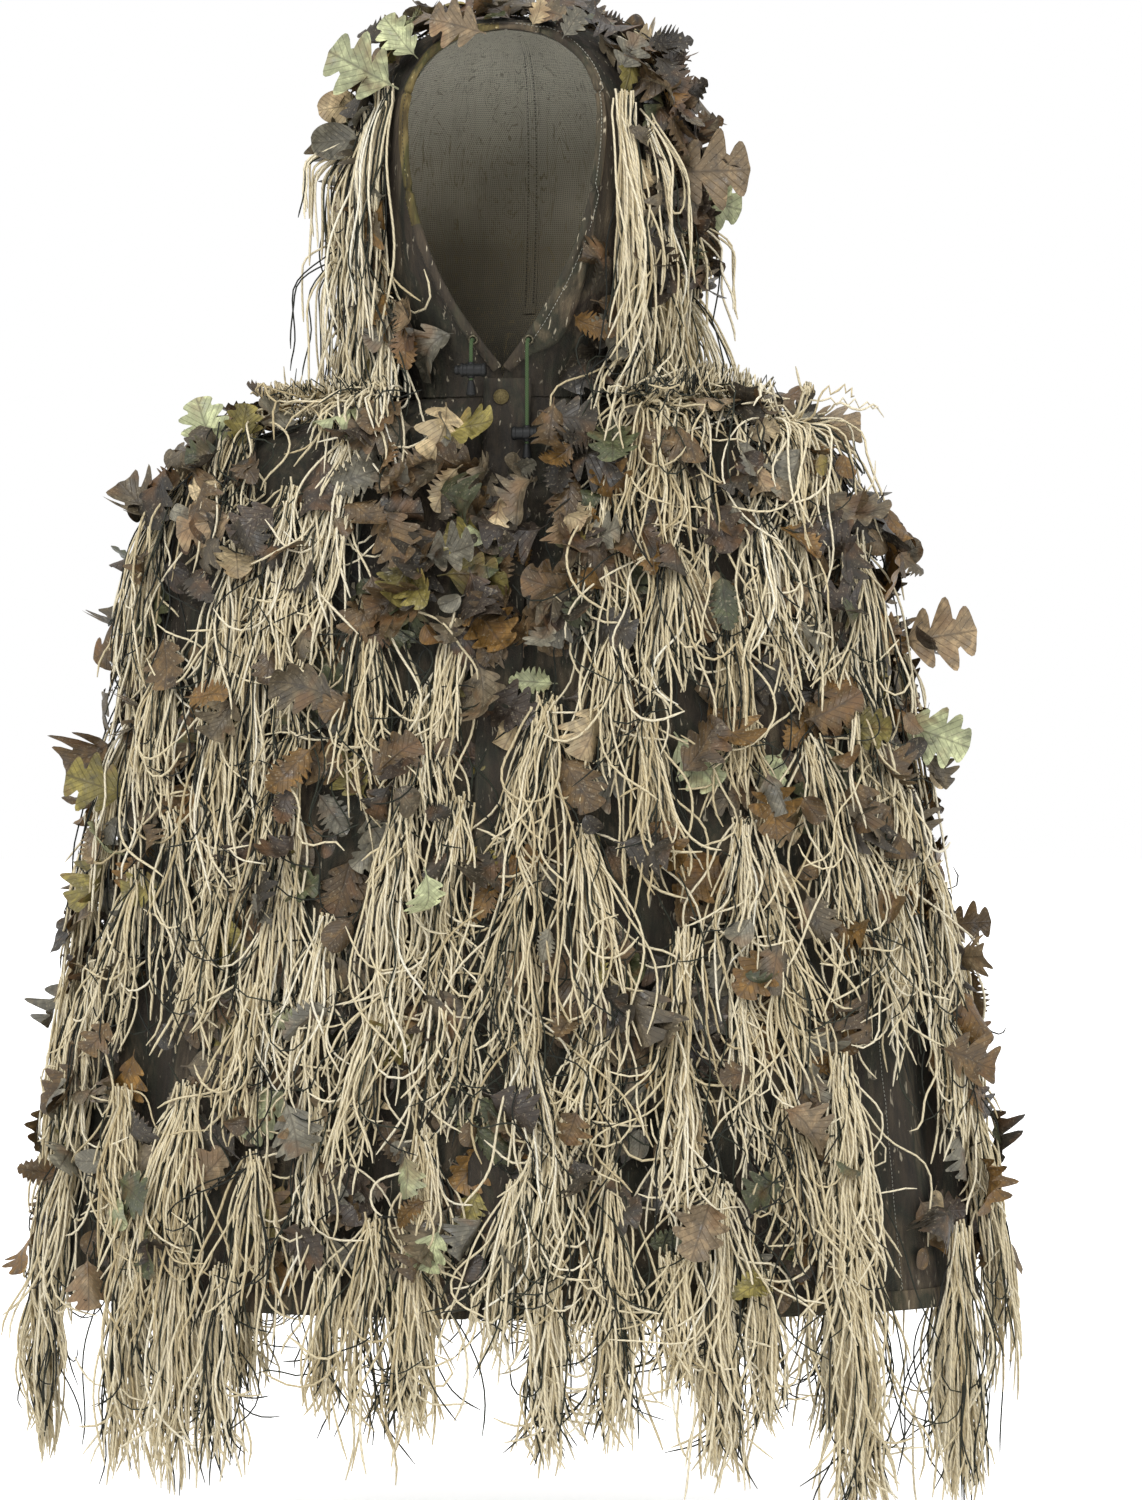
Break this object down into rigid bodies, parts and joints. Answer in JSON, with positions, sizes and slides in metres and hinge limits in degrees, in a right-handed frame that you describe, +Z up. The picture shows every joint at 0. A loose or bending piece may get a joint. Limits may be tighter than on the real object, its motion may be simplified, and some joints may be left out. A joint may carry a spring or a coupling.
{
  "type": "ghillie poncho",
  "caption": "Hooded camouflage poncho with yarn fringe and leaf trim, snap front that opens, hood that folds back, and drawcords with cord locks.",
  "frame": {"origin": "the middle of the neck, level with the seam between hood and cape, where the wearer's shoulders hold the poncho up", "axes": "+Z up along the wearer, -Y the way the wearer faces, +X the wearer's left"},
  "size_m": [0.8264, 0.4902, 1.1807],
  "materials": {
    "camo_cloth": "printed woven polyester, dark bark camouflage",
    "binding_cloth": "printed woven binding, olive and grey-brown",
    "mesh_lining": "fine see-through polyester mesh",
    "jute_yarn": "matt twisted yarn, cream with some black strands",
    "snap_brass": "antique brass, satin",
    "eyelet_metal": "nickel, satin",
    "green_cord": "braided cord",
    "black_plastic": "moulded, slightly worn",
    "spring_steel": "bright wire"
  },
  "bodies": {
    "root": {"back_panel": "camo_cloth", "front_right_panel": "camo_cloth", "front_left_panel": "camo_cloth", "placket_under": "camo_cloth", "placket_over_throat": "camo_cloth", "neck_band": "binding_cloth", "hem_binding_back": "binding_cloth", "hem_binding_right": "binding_cloth", "hem_binding_left": "binding_cloth", "snap_stud_1": "snap_brass", "snap_post_1": "snap_brass", "snap_cap_1": "snap_brass", "snap_socket_1": "snap_brass", "snap_stud_2": "snap_brass", "snap_post_2": "snap_brass", "snap_stud_3": "snap_brass", "snap_post_3": "snap_brass", "snap_stud_4": "snap_brass", "snap_post_4": "snap_brass", "fringe_back_1": "jute_yarn", "fringe_back_2": "jute_yarn", "fringe_back_3": "jute_yarn", "fringe_right_1": "jute_yarn", "fringe_right_2": "jute_yarn", "fringe_right_3": "jute_yarn", "fringe_left_1": "jute_yarn", "fringe_left_2": "jute_yarn", "fringe_left_3": "jute_yarn", "hood_collar": "camo_cloth", "throat_binding_left": "binding_cloth", "throat_binding_right": "binding_cloth", "eyelet_left": "eyelet_metal", "eyelet_right": "eyelet_metal", "drawcord_left": "green_cord", "drawcord_right": "green_cord", "cord_end_left": "black_plastic", "cord_end_right": "black_plastic"},
    "front_left": {"front_left_flap": "camo_cloth", "placket_over": "camo_cloth", "hem_binding_flap": "binding_cloth", "fringe_flap_1": "jute_yarn", "fringe_flap_2": "jute_yarn", "snap_cap_2": "snap_brass", "snap_socket_2": "snap_brass", "snap_cap_3": "snap_brass", "snap_socket_3": "snap_brass", "snap_cap_4": "snap_brass", "snap_socket_4": "snap_brass"},
    "hood": {"hood_left_panel": "camo_cloth", "hood_right_panel": "camo_cloth", "hood_seam_tape": "mesh_lining", "hood_face_binding": "binding_cloth", "fringe_hood_left": "jute_yarn", "fringe_hood_right": "jute_yarn"},
    "cord_lock_left": {"cord_lock_left": "black_plastic", "cord_lock_spring_left": "spring_steel"},
    "cord_lock_button_left": {"cord_lock_button_left": "black_plastic"},
    "cord_lock_right": {"cord_lock_right": "black_plastic", "cord_lock_spring_right": "spring_steel"},
    "cord_lock_button_right": {"cord_lock_button_right": "black_plastic"}
  },
  "joints": [
    {"name": "hood_fold_back", "type": "hinge", "parent": "root", "child": "hood", "pos_m": [0, 0.017, 0.02], "axis": [-1, 0, 0], "range_deg": [0, 50]},
    {"name": "front_open", "type": "hinge", "parent": "root", "child": "front_left", "pos_m": [0.03, -0.11, -0.056], "axis": [-0.2828, 0.1218, 0.9514], "range_deg": [0, 45]},
    {"name": "cord_lock_slide_left", "type": "slide", "parent": "root", "child": "cord_lock_left", "axis": [0, 0, 1], "range_m": [0, 0.05]},
    {"name": "cord_lock_press_left", "type": "slide", "parent": "cord_lock_left", "child": "cord_lock_button_left", "axis": [-1, 0, 0], "range_m": [0, 0.0035], "stiffness_N_per_m": 900},
    {"name": "cord_lock_slide_right", "type": "slide", "parent": "root", "child": "cord_lock_right", "axis": [0, 0, 1], "range_m": [0, 0.006]},
    {"name": "cord_lock_press_right", "type": "slide", "parent": "cord_lock_right", "child": "cord_lock_button_right", "axis": [1, 0, 0], "range_m": [0, 0.0035], "stiffness_N_per_m": 900}
  ]
}
